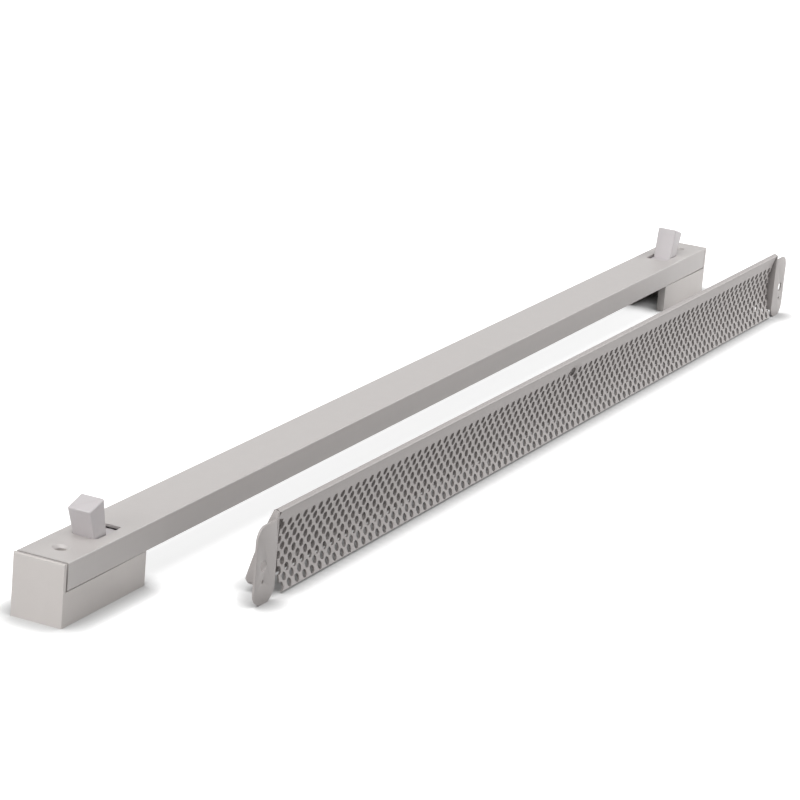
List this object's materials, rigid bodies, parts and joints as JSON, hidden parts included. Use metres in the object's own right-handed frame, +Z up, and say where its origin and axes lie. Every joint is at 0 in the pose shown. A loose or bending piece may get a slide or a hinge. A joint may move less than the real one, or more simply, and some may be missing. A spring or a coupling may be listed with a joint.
{
  "type": "window trickle vent",
  "caption": "Slim bar ventilator for a window frame, with tilting lever knobs that lower a damper, and a perforated outer hood.",
  "frame": {"origin": "midway between the bar's two fixing holes, on the plane that its legs sit on", "axes": "+X along the bar, +Z up out of the window frame, -Y towards the hood that stands beside it"},
  "size_m": [0.6014, 0.0669, 0.0365],
  "materials": {
    "bar_paint": "satin off-white paint",
    "block_plastic": "fine moulded plastic",
    "lever_plastic": "smooth moulded plastic",
    "pin_steel": "bright drawn",
    "washer_nylon": "natural nylon",
    "damper_metal": "mill",
    "gasket_foam": "closed-cell foam",
    "bracket_steel": "zinc plated",
    "rivet_aluminium": "bright",
    "hood_paint": "satin grey-white paint"
  },
  "bodies": {
    "root": {"cover_profile": "bar_paint", "end_block_left": "block_plastic", "end_block_right": "block_plastic", "pivot_pin_left": "pin_steel", "pivot_pin_right": "pin_steel", "friction_washers_left": "washer_nylon", "friction_washers_right": "washer_nylon", "hood_canopy": "hood_paint", "hood_mesh": "hood_paint", "hood_end_left": "hood_paint", "hood_end_right": "hood_paint"},
    "left_lever": {"lever_left": "lever_plastic", "crank_pin_left": "pin_steel"},
    "right_lever": {"lever_right": "lever_plastic", "crank_pin_right": "pin_steel"},
    "damper": {"damper_plate": "damper_metal", "damper_gasket": "gasket_foam", "damper_bracket_left": "bracket_steel", "damper_bracket_right": "bracket_steel", "bracket_rivets": "rivet_aluminium"}
  },
  "joints": [
    {"name": "left_lever_tilt", "type": "hinge", "parent": "root", "child": "left_lever", "pos_m": [-0.2656, 0, 0.0126], "axis": [0, 1, 0], "range_deg": [0, 44]},
    {"name": "right_lever_tilt", "type": "hinge", "parent": "root", "child": "right_lever", "pos_m": [0.2656, 0, 0.0126], "axis": [0, -1, 0], "range_deg": [0, 44]},
    {"name": "damper_drop", "type": "slide", "parent": "root", "child": "damper", "axis": [0, 0, -1], "range_m": [0, 0.01251]}
  ],
  "couplings": [
    {"joint": "left_lever_tilt", "follows": "damper_drop", "rad_per_m": 61.377},
    {"joint": "right_lever_tilt", "follows": "damper_drop", "rad_per_m": 61.377}
  ]
}
